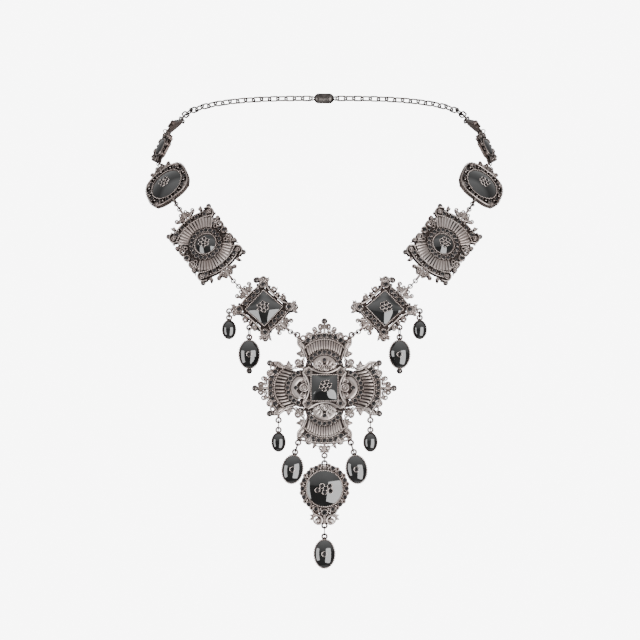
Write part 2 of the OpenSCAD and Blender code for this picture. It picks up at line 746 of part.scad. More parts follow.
left() place(cross_drop_at) big_drop_stone();  // cross_drop_l_stone
place(cross_small_at) small_drop();  // cross_small_drop_r
place(cross_small_at) small_drop_stone();  // cross_small_drop_r_stone
left() place(cross_small_at) small_drop();  // cross_small_drop_l
left() place(cross_small_at) small_drop_stone();  // cross_small_drop_l_stone
place(link_drop_at) big_drop(true);  // link_drop_r
place(link_drop_at) big_drop_stone();  // link_drop_r_stone
left() place(link_drop_at) big_drop(true);  // link_drop_l
left() place(link_drop_at) big_drop_stone();  // link_drop_l_stone
place(link_small_at) small_drop();  // link_small_drop_r
place(link_small_at) small_drop_stone();  // link_small_drop_r_stone
left() place(link_small_at) small_drop();  // link_small_drop_l
left() place(link_small_at) small_drop_stone();  // link_small_drop_l_stone
main_drop();
main_drop_stone();
main_drop_crystals();
foot_drop();
foot_drop_stone();
main_ring();
foot_ring();
rings();  // rings_r
left() rings();  // rings_l
chain();  // chain_r
left() chain();  // chain_l
clasp();
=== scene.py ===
import math

import bmesh
import bpy
import numpy as np
from mathutils import Matrix, Vector


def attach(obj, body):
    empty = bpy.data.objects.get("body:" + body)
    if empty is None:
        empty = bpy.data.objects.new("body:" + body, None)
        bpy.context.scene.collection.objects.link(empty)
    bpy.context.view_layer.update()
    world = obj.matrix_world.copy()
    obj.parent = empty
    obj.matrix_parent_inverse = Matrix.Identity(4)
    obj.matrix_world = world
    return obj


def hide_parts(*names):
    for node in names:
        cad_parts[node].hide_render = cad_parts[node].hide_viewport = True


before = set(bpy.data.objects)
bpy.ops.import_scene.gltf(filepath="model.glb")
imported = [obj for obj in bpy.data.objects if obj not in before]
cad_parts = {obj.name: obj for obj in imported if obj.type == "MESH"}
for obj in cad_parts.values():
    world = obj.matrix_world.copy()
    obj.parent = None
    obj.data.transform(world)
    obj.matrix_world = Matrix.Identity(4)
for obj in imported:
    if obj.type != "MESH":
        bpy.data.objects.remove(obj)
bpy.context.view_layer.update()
mm = 0.001

# Camera, level with the collar and square to the cross
view = {"place": (-0.002, -1.637, -0.109), "fieldOfView": 10.97}


def makeCamera():
    lens = bpy.data.cameras.new("camera")
    lens.angle = math.radians(view["fieldOfView"])
    camera = bpy.data.objects.new("camera", lens)
    camera.location = view["place"]
    camera.rotation_euler = (math.pi / 2, 0, 0)
    bpy.context.scene.collection.objects.link(camera)
    bpy.context.scene.camera = camera


makeCamera()
print("camera set")


# Nodes and shader maths
class Wire:
    def __init__(self, board, socket):
        self.board = board
        self.socket = socket

    def sum(self, kind, first, second):
        return self.board.add("ShaderNodeMath", {"operation": kind}, {0: first, 1: second})

    def __add__(self, other):
        return self.sum("ADD", self, other)

    __radd__ = __add__

    def __mul__(self, other):
        return self.sum("MULTIPLY", self, other)

    def __sub__(self, other):
        return self.sum("SUBTRACT", self, other)

    def __rsub__(self, other):
        return self.sum("SUBTRACT", other, self)


class Board:
    def __init__(self, tree):
        self.tree = tree

    def add(self, kind, settings=None, inputs=None, out=0):
        node = self.tree.nodes.new(kind)
        for name, value in (settings or {}).items():
            if name == "stops":
                elements = node.color_ramp.elements
                while len(elements) < len(value):
                    elements.new(0.5)
                for element, (where, colour) in zip(elements, value):
                    element.position = where
                    element.color = colour
            else:
                setattr(node, name, value)
        for name, value in (inputs or {}).items():
            if isinstance(value, Wire):
                self.tree.links.new(value.socket, node.inputs[name])
            else:
                node.inputs[name].default_value = value
        if not node.outputs:
            return node
        return Wire(self, node.outputs[out])


def grey(level):
    return (level, level, level, 1)


def newMaterial(name):
    material = bpy.data.materials.new(name)
    material.use_nodes = True
    material.node_tree.nodes.clear()
    board = Board(material.node_tree)
    return material, board, board.add("ShaderNodeTexCoord", out=3)


def noise(board, spot, size, detail=2.0):
    return board.add("ShaderNodeTexNoise", None, {"Vector": spot, "Scale": size, "Detail": detail})


def ramp(board, stops, factor):
    return board.add("ShaderNodeValToRGB", {"stops": stops}, {0: factor})


def mixed(board, share, first, second, blend="MIX"):
    return board.add("ShaderNodeMix", {"data_type": "RGBA", "blend_type": blend},
                     {0: share, 6: first, 7: second}, out=2)


def forCamera(board, unseen, seen):
    straight = board.add("ShaderNodeLightPath")
    return mixed(board, straight, unseen, grey(seen))


def bumped(board, height, strength, depth):
    return board.add("ShaderNodeBump", None,
                     {"Strength": strength, "Distance": depth, "Height": height})


def finishMaterial(board, shaderInputs):
    shader = board.add("ShaderNodeBsdfPrincipled", inputs=shaderInputs)
    board.add("ShaderNodeOutputMaterial", inputs={"Surface": shader})


# Antique silver: bright on the high edges, darker down in the plate, partly real oxide in the
# hollows and partly painted shade standing in for occlusion
antique = {
    "back": (0.16, 0.135, 0.125, 1),
    "wall": (0.09, 0.075, 0.069, 1),
    "oxideAndShade": (0.028, 0.022, 0.020, 1),
    "slope": (0.125, 0.105, 0.097, 1),
    "crest": (0.34, 0.304, 0.288, 1),
    "levels": [(0.05, "back"), (0.2, "wall"), (1.0, "wall"), (1.17, "oxideAndShade"), (1.55, "oxideAndShade"),
               (1.95, "slope"), (2.35, "crest")],  # millimetres above the back of the plate
    "reach": 3.0,
    "tint": [(0.3, (0.88, 0.82, 0.8, 1)), (0.7, (1, 1, 1, 1))],
    "stain": {"size": 90, "detail": 4.0, "wander": 0.07},
    "grain": {"size": 1100, "detail": 3.0, "wander": 0.04, "roughness": 0.1},
    "roughest": 0.56,
    "polish": 0.36,
    "metallic": 0.97,
    "bump": (0.5, 0.00002),
}


def antiqueMetal(name, place):
    material, board, spot = newMaterial(name)
    x, y, z = [board.add("ShaderNodeSeparateXYZ", inputs={0: spot}, out=i) for i in range(3)]
    side = board.add("ShaderNodeMath", {"operation": "ABSOLUTE"}, {0: x})
    out = place[3]
    height = side * out[0] + y * out[1] + z * out[2]
    height = (height - place[0] @ out * mm) * (1 / mm / antique["reach"])
    stain, grain = antique["stain"], antique["grain"]
    cloud = noise(board, spot, stain["size"], stain["detail"])
    speck = noise(board, spot, grain["size"], grain["detail"])
    # height above the plate plus stain noise; it drives the colour ramp, whose low end is oxide and
    # painted shade, and the roughness
    rubbedAndShaded = height + (cloud - 0.5) * stain["wander"] + (speck - 0.5) * grain["wander"]
    stops = [(level / antique["reach"], antique[tone]) for level, tone in antique["levels"]]
    colour = mixed(board, 1.0, ramp(board, stops, rubbedAndShaded), ramp(board, antique["tint"], cloud),
                   "MULTIPLY")
    rough = antique["roughest"] - rubbedAndShaded * antique["polish"] + speck * grain["roughness"]
    finishMaterial(board, {"Base Color": colour, "Metallic": antique["metallic"],
                           "Roughness": rough, "Normal": bumped(board, speck, *antique["bump"])})
    return material


# Dark metal of the rings, the chain and the small balls
darkMetal = {"cloudSize": 260.0, "detail": 5.0, "levels": (0.35, 0.62), "stain": 0.16,
             "metallic": 0.96, "grainSize": 1500.0, "bump": (0.4, 0.00002)}


def wornMetal(name, low, high, roughness):
    material, board, spot = newMaterial(name)
    cloud = noise(board, spot, darkMetal["cloudSize"], darkMetal["detail"])
    speck = noise(board, spot, darkMetal["grainSize"])
    stops = [*zip(darkMetal["levels"], (low, high))]
    finishMaterial(board, {"Base Color": ramp(board, stops, cloud),
                           "Metallic": darkMetal["metallic"],
                           "Roughness": roughness + cloud * darkMetal["stain"],
                           "Normal": bumped(board, speck, *darkMetal["bump"])})
    return material


# Polished black stone and cut crystal
jet = {"cloudSize": 160.0, "detail": 3.0, "stops": [(0.4, grey(0.004)), (0.7, grey(0.008))],
       "roughness": (0.03, 0.03), "IOR": 1.56}
hematite = {"cloudSize": 700.0, "detail": 1.0,
            "stops": [(0.35, grey(0.003)), (0.65, (0.012, 0.0105, 0.011, 1))],
            "roughness": (0.04, 0.05), "IOR": 1.24}


def polished(name, finish):
    material, board, spot = newMaterial(name)
    cloud = noise(board, spot, finish["cloudSize"], finish["detail"])
    least, more = finish["roughness"]
    finishMaterial(board, {"Base Color": ramp(board, finish["stops"], cloud),
                           "Roughness": least + cloud * more, "IOR": finish["IOR"]})
    return material


# Light: pale above, dark below, a broad panel low on the right and a small one on the left
light = {
    "seen": 8.0,
    "aside": [(0.0, 1), (0.36, 1), (0.5, 0.34), (0.75, 0.5), (1.0, 0.7)],
    "overhead": 2.4, "horizon": 0.75, "ground": 0.12, "skyline": 7, "haze": 0.006,
    "rightPanel": {"toward": (33, -15), "away": 0.85, "size": (0.7, 1.05), "radiance": 14},
    "leftPanel": {"toward": (-60, -10), "away": 0.85, "size": (0.46, 0.74), "radiance": 11},
    "aim": (0, -0.137, -0.13),
}
floorStyle = {"seen": 6.6, "drop": -2.0, "radius": 1.2, "cloudSize": 6.0, "roughness": 0.7,
              "tones": [(0, grey(0.76)), (1, grey(0.82))]}


def makeWorld():
    world = bpy.data.worlds.new("paleRoom")
    bpy.context.scene.world = world
    world.use_nodes = True
    world.node_tree.nodes.clear()
    board = Board(world.node_tree)
    spot = board.add("ShaderNodeTexCoord", out=0)
    x, y, z = [board.add("ShaderNodeSeparateXYZ", inputs={0: spot}, out=i) for i in range(3)]
    line = 0.5 + math.sin(math.radians(light["skyline"])) / 2
    sky = [(0.0, "ground"), (line - light["haze"], "ground"), (line + light["haze"], "horizon"),
           (1.0, "overhead")]
    sky = ramp(board, [(where, grey(light[tone])) for where, tone in sky], z * 0.5 + 0.5)
    aside = ramp(board, [(where, grey(level)) for where, level in light["aside"]], y * 0.5 + 0.5)
    sky = mixed(board, 1.0, sky, aside, "MULTIPLY")
    seen = forCamera(board, sky, light["seen"])
    background = board.add("ShaderNodeBackground", inputs={"Color": seen, "Strength": 1.0})
    board.add("ShaderNodeOutputWorld", inputs={"Surface": background})


def makePanel(name):
    panel = light[name]
    lamp = bpy.data.lights.new(name, "AREA")
    lamp.shape = "RECTANGLE"
    lamp.size, lamp.size_y = panel["size"]
    lamp.energy = panel["radiance"] * math.pi * lamp.size * lamp.size_y
    holder = bpy.data.objects.new(name, lamp)
    holder.visible_camera = False
    aside, up = [math.radians(a) for a in panel["toward"]]
    away = Vector((math.sin(aside) * math.cos(up), -math.cos(aside) * math.cos(up), math.sin(up)))
    holder.location = Vector(light["aim"]) + panel["away"] * away
    holder.rotation_euler = away.to_track_quat("Z", "Y").to_euler()
    bpy.context.scene.collection.objects.link(holder)


def makeFloor():
    bpy.ops.mesh.primitive_circle_add(vertices=64, radius=floorStyle["radius"], fill_type="NGON",
                                      location=(0, 0, floorStyle["drop"]))
    floor = bpy.context.object
    floor.name = "floor"
    material, board, spot = newMaterial("paleFloor")
    colour = ramp(board, floorStyle["tones"], noise(board, spot, floorStyle["cloudSize"]))
    glow = forCamera(board, grey(0), floorStyle["seen"])
    finishMaterial(board, {"Base Color": colour, "Roughness": floorStyle["roughness"],
                           "Emission Color": glow, "Emission Strength": 1.0})
    floor.data.materials.append(material)


makeWorld()
for name in ("rightPanel", "leftPanel"):
    makePanel(name)
makeFloor()
print("room and light set")


# Places, as the castings hang on the worn line; lengths in millimetres
worn = {
    "tilt": 15,
    "crossMid": (0, -137, -140),
    "square": (40.3, -119, -92.7),
    "fan": (67.7, -95, -56.8),
    "shoulder": (77.2, -70, -36.8),
    "oval": (74.5, -52, -19.5),
    "end": (67.4, -34, -13.6),
    "crossEyes": (12.3, 25), "crossSideEye": (20.6, -14.6), "crossLowEye": (11.8, -25),
    "crossFootEye": -31.85, "squareSideEye": (10.9, -0.8), "squareCornerEye": (11.4, 11.6),
    "eyeZ": 0.6, "castEye": 0.95, "dropEye": 1.1, "bigEye": 7.75, "smallEye": 5.4,
    "fall": 4.4, "shortFall": 3,
    "ringReach": 1.8, "mainRing": 1.35, "footRing": 2, "ringPlay": 0.59,
    "mainEyeUp": 11.3, "mainLowEye": -16.6, "mainEyeZ": 1.0,
}


def unit(v):
    v = np.array(v, float)
    return v / np.linalg.norm(v)


def placeOf(c, up=(0, 0, 1), out=(0, -1, 0)):
    out = np.array(out, float)
    y = unit(up)
    z = unit(out - (out @ y) * y)
    return (np.array(c, float), np.cross(y, z), y, z)


def at(f, x, y, z=0):
    return f[0] + x * f[1] + y * f[2] + z * f[3]


def linkAt(p, q, out):
    return placeOf((p + q) / 2, q - p, out), np.linalg.norm(q - p) / 2 - worn["ringReach"]


tilt = math.radians(worn["tilt"])
places = {"cross": placeOf(worn["crossMid"], (0, math.sin(tilt), math.cos(tilt)))}
crossEye = at(places["cross"], *worn["crossEyes"], worn["eyeZ"])
joints = [crossEye + worn["ringReach"] * unit((2, 1, 0))]
joints += [np.array(worn[name]) for name in ("square", "fan", "shoulder", "oval", "end")]
facing = {"square": (0.2, -0.9, 0.35), "fan": (0.35, -0.8, 0.45), "shoulder": (0.5, -0.7, 0.5),
          "oval": (0.8, -0.35, 0.45), "end": (0.85, 0.1, 0.5)}
half = {}
for i, name in enumerate(facing):
    places[name], half[name] = linkAt(joints[i], joints[i + 1], facing[name])


def hung(holder, eye, turn, length, fall=worn["fall"]):
    start = at(places[holder], *worn[eye], worn["eyeZ"])
    turn = math.radians(turn)
    d = np.array((math.sin(turn), 0, -math.cos(turn)))
    c = start + fall * unit((d[0] * 2, 0, d[2])) + d * length
    return placeOf(c + np.array((0, worn["eyeZ"], 0)), -d)


places["crossDrop"] = hung("cross", "crossLowEye", 9, worn["bigEye"])
places["crossSmall"] = hung("cross", "crossSideEye", 0, worn["smallEye"])
places["linkDrop"] = hung("square", "squareSideEye", 0, worn["bigEye"])
places["linkSmall"] = hung("square", "squareCornerEye", 0, worn["smallEye"], worn["shortFall"])
hinge = at(places["cross"], 0, worn["crossFootEye"], worn["eyeZ"])
back = np.array((0, worn["mainEyeZ"], 0))
mainDown = 2 * (worn["mainRing"] - worn["ringPlay"]) + worn["castEye"] + worn["mainEyeUp"]
places["main"] = placeOf(hinge - (0, 0, mainDown) + back)
footDown = 2 * (worn["footRing"] - worn["ringPlay"]) + worn["castEye"] + worn["dropEye"]
footTop = at(places["main"], 0, worn["mainLowEye"], worn["mainEyeZ"])
places["foot"] = placeOf(footTop - (0, 0, footDown + worn["bigEye"]) + back)
print("places worked out")


# Geometry Nodes: what follows a line, and what repeats at points
def newTree(name, sockets):
    tree = bpy.data.node_groups.new(name, "GeometryNodeTree")
    face = tree.interface
    face.new_socket("Geometry", in_out="INPUT", socket_type="NodeSocketGeometry")
    face.new_socket("Geometry", in_out="OUTPUT", socket_type="NodeSocketGeometry")
    for label, kind, value in (*sockets, ("Material", "Material", None)):
        socket = face.new_socket(label, in_out="INPUT", socket_type="NodeSocket" + kind)
        if value is not None:
            socket.default_value = value
    board = Board(tree)
    start = tree.nodes.new("NodeGroupInput")
    return tree, board, {s.name: Wire(board, s) for s in start.outputs if s.name}


def finishTree(tree, board, geometry, material):
    real = board.add("GeometryNodeRealizeInstances", inputs={0: geometry})
    painted = board.add("GeometryNodeSetMaterial", inputs={0: real, "Material": material})
    board.add("NodeGroupOutput", inputs={0: painted})
    return tree


def named(board, kind, name):
    return board.add("GeometryNodeInputNamedAttribute", {"data_type": kind}, {"Name": name})


def sweepTree():
    tree, board, given = newTree("castScroll", [("Flatness", "Float", 1.0), ("Sides", "Int", 8)])
    curve = board.add("GeometryNodeMeshToCurve", inputs={0: given["Geometry"]})
    curve = board.add("GeometryNodeSetCurveNormal", {"mode": "Z_UP"}, {0: curve})
    width = named(board, "FLOAT", "halfWidth")
    section = board.add("GeometryNodeCurvePrimitiveCircle", None,
                        {"Resolution": given["Sides"], "Radius": 1.0})
    scale = board.add("ShaderNodeCombineXYZ", inputs={0: 1.0, 1: given["Flatness"], 2: 1.0})
    section = board.add("GeometryNodeTransform", inputs={0: section, "Scale": scale})
    tube = board.add("GeometryNodeCurveToMesh", inputs={
        0: curve, "Profile Curve": section, "Scale": width, "Fill Caps": True})
    tube = board.add("GeometryNodeSetShadeSmooth", inputs={0: tube})
    return finishTree(tree, board, tube, given["Material"])


def grainTree():
    tree, board, given = newTree("milgrain", [("Spacing", "Float", 0.7), ("Size", "Float", 0.25)])
    curve = board.add("GeometryNodeMeshToCurve", inputs={0: given["Geometry"]})
    curve = board.add("GeometryNodeResampleCurve", {"mode": "LENGTH"},
                      {0: curve, "Length": given["Spacing"]})
    bead = board.add("GeometryNodeMeshIcoSphere", inputs={"Radius": given["Size"],
                                                          "Subdivisions": 2})
    beads = board.add("GeometryNodeInstanceOnPoints", inputs={0: curve, "Instance": bead})
    smooth = board.add("GeometryNodeSetShadeSmooth", inputs={0: beads})
    return finishTree(tree, board, smooth, given["Material"])


def scatterTree():
    tree, board, given = newTree("setAtPoints", [("Shape", "Object", None)])
    shape = board.add("GeometryNodeObjectInfo", inputs={"Object": given["Shape"]}, out=4)
    turn = named(board, "FLOAT_VECTOR", "turn")
    turn = board.add("FunctionNodeEulerToRotation", inputs={0: turn})
    copies = board.add("GeometryNodeInstanceOnPoints", inputs={
        0: given["Geometry"], "Instance": shape, "Rotation": turn,
        "Scale": named(board, "FLOAT_VECTOR", "size")})
    return finishTree(tree, board, copies, given["Material"])


trees = {"sweep": sweepTree(), "grain": grainTree(), "scatter": scatterTree()}


def grown(tree, base, settings):
    holder = bpy.data.objects.new("blank", base)
    bpy.context.scene.collection.objects.link(holder)
    modifier = holder.modifiers.new("grow", "NODES")
    modifier.node_group = tree
    for item in tree.interface.items_tree:
        if item.in_out == "INPUT" and item.name in settings:
            modifier[item.identifier] = settings[item.name]
    graph = bpy.context.evaluated_depsgraph_get()
    mesh = bpy.data.meshes.new_from_object(holder.evaluated_get(graph))
    bpy.data.objects.remove(holder)
    return mesh


def lineMesh(lines):
    points, edges, widths = [], [], []
    for line, width in lines:
        edges += [(len(points) + i, len(points) + i + 1) for i in range(len(line) - 1)]
        points += line
        widths += list(width)
    mesh = bpy.data.meshes.new("lines")
    mesh.from_pydata(points, edges, [])
    mesh.attributes.new("halfWidth", "FLOAT", "POINT").data.foreach_set("value", widths)
    return mesh


def pointMesh(spots):
    mesh = bpy.data.meshes.new("spots")
    mesh.from_pydata([s[0] for s in spots], [], [])
    for label, column in (("turn", 1), ("size", 2)):
        values = [v for s in spots for v in s[column]]
        mesh.attributes.new(label, "FLOAT_VECTOR", "POINT").data.foreach_set("vector", values)
    return mesh


def solid(points, faces, smooth=True):
    mesh = bpy.data.meshes.new("solid")
    mesh.from_pydata(points, [], faces)
    mesh.polygons.foreach_set("use_smooth", [smooth] * len(mesh.polygons))
    return mesh


# Unit shapes that are set at points
def ringPoints(radius, z, sides, turn=0.0):
    return [(radius * math.cos(a), radius * math.sin(a), z)
            for a in (2 * math.pi * (i + turn) / sides for i in range(sides))]


def ringFaces(low, high, sides):
    return [(low + i, low + (i + 1) % sides, high + (i + 1) % sides, high + i)
            for i in range(sides)]


def stacked(rings, apex=None):
    sides = len(rings[0])
    points = [point for ring in rings for point in ring]
    faces = [tuple(range(sides))[::-1]]
    for k in range(1, len(rings)):
        faces += ringFaces((k - 1) * sides, k * sides, sides)
    last = len(points) - sides
    if apex is None:
        faces.append(tuple(range(last, len(points))))
    else:
        points.append(apex)
        faces += [(last + i, last + (i + 1) % sides, last + sides) for i in range(sides)]
    return points, faces


def turned(profile, sides):
    return stacked([ringPoints(radius, z, sides) for radius, z in profile])


def cutStone():
    n = 8
    points = ringPoints(0.88, 0, n) + ringPoints(0.96, 0.36, n)
    points += ringPoints(0.82, 0.6, n, 0.5) + ringPoints(0.52, 0.76, n)
    faces = [tuple(range(n))[::-1]] + ringFaces(0, n, n)
    for i in range(n):
        j = (i + 1) % n
        faces += [(n + i, n + j, 2 * n + i), (n + j, 2 * n + j, 2 * n + i),
                  (2 * n + i, 3 * n + j, 3 * n + i), (2 * n + i, 2 * n + j, 3 * n + j)]
    faces.append(tuple(range(3 * n, 4 * n)))
    return solid(points, faces, False)


def claw(radius, height, turn):
    points, faces = turned([(0.15, 0), (0.17, 0.4), (0.15, height), (0.07, height + 0.1)], 6)
    c, s = math.cos(turn), math.sin(turn)
    return [(radius * c + p[0], radius * s + p[1], p[2]) for p in points], faces


def setting(claws=4):
    n = 16
    profile = [(0.93, -0.35), (1.16, -0.35), (1.16, 0.46), (1.08, 0.56), (0.95, 0.5)]
    points, faces = turned(profile, n)
    faces = faces[1:-1] + ringFaces(len(points) - n, 0, n)
    for i in range(claws):
        more, sides = claw(0.98, 0.72, 2 * math.pi * (i + 0.5) / claws)
        faces += [tuple(len(points) + v for v in f) for f in sides]
        points += more
    return solid(points, faces)


def tooth():
    points, faces = turned([(0.5, 0), (0.54, 0.4), (0.42, 0.8), (0.14, 1.0)], 8)
    return solid([(p[0] * 0.55, p[1] - 0.4 * p[2], p[2]) for p in points], faces)


def ball():
    points, faces = turned([(math.cos(a), math.sin(a)) for a in
                            (math.radians(15 * k) for k in range(-5, 6))], 16)
    return solid(points, faces)


shapes = {make.__name__: bpy.data.objects.new(make.__name__, make())
          for make in (cutStone, setting, tooth, ball)}


# Lines on a casting
def polar(c, r, a):
    return (c[0] + r * math.cos(math.radians(a)), c[1] + r * math.sin(math.radians(a)))


def arc(c, r, a0, a1, n=16):
    return [polar(c, r, a0 + (a1 - a0) * i / n) for i in range(n + 1)]


def spread(n, a0, a1):
    return [a0 + (a1 - a0) * i / (n - 1) for i in range(n)]


def ovalPath(a, b, n):
    return [(a * math.cos(2 * math.pi * i / n), b * math.sin(2 * math.pi * i / n))
            for i in range(n)]


def onOval(a, b, turn):
    return (a * math.cos(math.radians(turn)), b * math.sin(math.radians(turn)))


def squarePath(side):
    h = side / 2
    return [(-h, -h), (h, -h), (h, h), (-h, h), (-h, -h)]


def roundedPath(a, n=72, power=3):
    points = []
    for i in range(n):
        c, s = math.cos(2 * math.pi * i / n), math.sin(2 * math.pi * i / n)
        reach = a / (abs(c) ** power + abs(s) ** power) ** (1 / power)
        points.append((reach * c, reach * s))
    return points


def smoothLine(points, steps=4):
    p = np.array([points[0], *points, points[-1]], float)
    line = []
    for i in range(1, len(p) - 2):
        for k in range(steps):
            t = k / steps
            line.append(0.5 * (2 * p[i] + (p[i + 1] - p[i - 1]) * t
                               + (2 * p[i - 1] - 5 * p[i] + 4 * p[i + 1] - p[i + 2]) * t * t
                               + (3 * p[i] - p[i - 1] - 3 * p[i + 1] + p[i + 2]) * t ** 3))
    line.append(p[-2])
    return line


same = np.eye(2)
mirrorX = np.array([[-1, 0], [0, 1]])
mirrorY = np.array([[1, 0], [0, -1]])


def turnBy(degrees):
    c, s = math.cos(math.radians(degrees)), math.sin(math.radians(degrees))
    return np.array([[c, -s], [s, c]])


quarters = [turnBy(a) for a in (0, 90, 180, 270)]
corners = (same, mirrorX, mirrorY, mirrorX @ mirrorY)

# Heights over the back of the plate, and how high each kind of line stands for its width
crest = {
    "z": 1.86, "grainZ": 2.15, "seatZ": 1.6, "settingZ": 1.5, "ballZ": 1.2, "outerZ": 1.5,
    "round": 1.25, "leaf": 0.62, "strap": 0.26, "flute": 0.85,
    "eye": 0.7, "eyeRadius": 1.09, "eyeHalfWidth": 0.44,
    "play": (0.09, 0.09, 3.1),
}
lowZ = crest["outerZ"]


def plateSolid(outline, top, rise):
    ahead = np.roll(outline, -1, axis=0)
    if (outline[:, 0] * ahead[:, 1] - outline[:, 1] * ahead[:, 0]).sum() < 0:
        outline = outline[::-1]
    middle = outline.mean(axis=0)
    levels = [(1, 1.1), (1, top - 0.14), (0.96, top), (0.8, top + 0.4 * rise),
              (0.55, top + 0.75 * rise), (0.28, top + 0.94 * rise)]
    rings = [[(*(middle + scale * (p - middle)), z) for p in outline] for scale, z in levels]
    return solid(*stacked(rings, (*middle, top + rise)))


class Casting:
    stores = ("lines", "grains", "seats", "plates", "balls", "teeth")

    def __init__(self):
        for store in self.stores:
            setattr(self, store, [])

    def line(self, points, widths, z=None, section="round"):
        self.lines.append((np.array(points, float), widths, z or crest["z"], crest[section]))

    def band(self, points, width=0.7, ends=0.55, z=None, smooth=True):
        points = smoothLine(points) if smooth and len(points) > 2 else points
        t = np.linspace(0, 1, len(points))
        widths = width / 2 * (ends + (1 - ends) * np.clip(np.sin(np.pi * t) * 1.6, 0, 1))
        self.line(points, widths, z)

    def loop(self, points, width=0.6, z=None):
        points = [*points, *points[:2]]
        self.band(points, width, 1, z, False)

    def volute(self, c, r, start=0, way=1, turns=1.35, width=0.62, z=None, inner=0.72):
        t = np.linspace(0, 1, 21)
        line = [polar(c, r * (1 - inner * s), start + way * 360 * turns * s) for s in t]
        self.line(line, width * (0.5 - 0.14 * t), z)
        self.bud(c, r * (1 - inner) * 0.95)

    def hoop(self, c, r, width=0.5, z=None, n=14):
        self.loop(arc(c, r, 0, 360 - 360 / n, n - 1), width, z)

    def eye(self, c, z=None):
        ring = arc(c, crest["eyeRadius"], 0, 360, 14)
        widths = np.full(len(ring) + 1, crest["eyeHalfWidth"])
        self.line([*ring, ring[1]], widths, z or worn["eyeZ"], "eye")

    def leaf(self, c, angle, length=2.6, width=1.0, z=None):
        shape = np.array([0.35, 0.8, 1.0, 0.86, 0.5, 0.12])
        line = [polar(c, length * i / 5, angle) for i in range(6)]
        self.line(line, shape * width / 2, z, "leaf")

    def web(self, points, width, z):
        points = [*points, *points[:2]]
        self.line(points, np.full(len(points), width / 2), z, "leaf")

    def crescent(self, c, r, a0, a1, width, z=1.9):
        taper = np.clip(np.sin(np.linspace(0, np.pi, 31)) * 2.2, 0.25, 1)
        self.line(arc(c, r, a0, a1, 30), taper * width / 2, z, "strap")

    def spray(self, c, angle, length=2.8, fan=36, width=0.8, z=None):
        self.leaf(c, angle, length, width, z)
        for s in (-1, 1):
            self.leaf(c, angle + s * fan, length * 0.72, width * 0.85, z)

    def grain(self, points, spacing=0.9, size=0.34, z=None):
        self.grains.append((np.array(points, float), spacing, size, z or crest["grainZ"]))

    def bud(self, c, size, z=None):
        self.grain([c, (c[0] + 0.01, c[1])], 1.0, round(size, 2), z)

    def seat(self, c, size=1.0, lift=0.0, collared=True):
        self.seats.append((np.array([c], float), size, lift, collared))

    def seatRow(self, c, r, n, a0, a1, size=1.0, endSize=None):
        for i, a in enumerate(spread(n, a0, a1)):
            self.seat(polar(c, r, a), endSize if endSize and i in (0, n - 1) else size)

    def budRow(self, c, r, n, a0, a1, size, z=None):
        for a in spread(n, a0, a1):
            self.bud(polar(c, r, a), size, z)

    def plate(self, outline, top=2.02, rise=0.3):
        self.plates.append((np.array(outline, float), top, rise))

    def ball(self, c, r=1.42, z=None):
        self.balls.append((np.array([c], float), r, z or crest["ballZ"]))

    def saw(self, points, size, z):
        self.teeth.append((np.array(points, float), size, z))

    def draw(self, parts):
        for kind, rows in parts.items():
            for row in rows:
                getattr(self, kind)(*row)
        return self

    def drawBoth(self, parts):
        self.draw(parts.get("middle", {}))
        self.add(Casting().draw(parts["side"]), same, mirrorX)
        return self

    def add(self, other, *matrices):
        for m in matrices:
            for store in self.stores:
                moved = [(p @ m.T, *rest) for p, *rest in getattr(other, store)]
                getattr(self, store).extend(moved)
        return self

    def metal(self, material):
        made = [plateSolid(*plate) for plate in self.plates]
        for flat in sorted({line[3] for line in self.lines}):
            lines = [([(*q, z) for q in p], w) for p, w, z, f in self.lines if f == flat]
            made.append(grown(trees["sweep"], lineMesh(lines),
                              {"Flatness": flat, "Sides": 8, "Material": material}))
        for kind in sorted({g[1:3] for g in self.grains}):
            lines = [([(*q, g[3]) for q in g[0]], [1.0] * len(g[0]))
                     for g in self.grains if g[1:3] == kind]
            made.append(grown(trees["grain"], lineMesh(lines),
                              {"Spacing": kind[0], "Size": kind[1], "Material": material}))
        held = [s for s in self.seats if s[3]]
        if held:
            made.append(self.scatter("setting", material, held, crest["settingZ"]))
        for path, size, z in self.teeth:
            made.append(self.sawRing(path, size, z, material))
        return made

    def scatter(self, shape, material, seats, z):
        tilts = np.random.default_rng(7).uniform(-1, 1, (len(seats), 3)) * crest["play"]
        spots = [((c[0][0], c[0][1], z + lift), tilt, (size,) * 3)
                 for (c, size, lift, *_), tilt in zip(seats, tilts)]
        return self.put(shape, material, spots)

    def put(self, shape, material, spots):
        return grown(trees["scatter"], pointMesh(spots),
                     {"Shape": shapes[shape], "Material": material})

    def sawRing(self, path, size, z, material):
        ahead = np.roll(path, -1, axis=0) - np.roll(path, 1, axis=0)
        spots = [((p[0], p[1], z), (0, 0, math.atan2(d[1], d[0]) + math.pi), (size,) * 3)
                 for p, d in zip(path, ahead)]
        return self.put("tooth", material, spots)


# Stones
def domed(a, b, low, edge, rise, fullness=1.0, levels=14, sides=72):
    profile = [(1, low), (1, edge)]
    for k in range(1, levels):
        s = math.cos(math.pi / 2 * k / levels)
        profile.append((s, edge + rise * (1 - s * s) ** fullness))
    rings = [[(a * s * x, b * s * y, z) for x, y, _ in ringPoints(1, 0, sides)] for s, z in profile]
    return solid(*stacked(rings, (0, 0, edge + rise)))


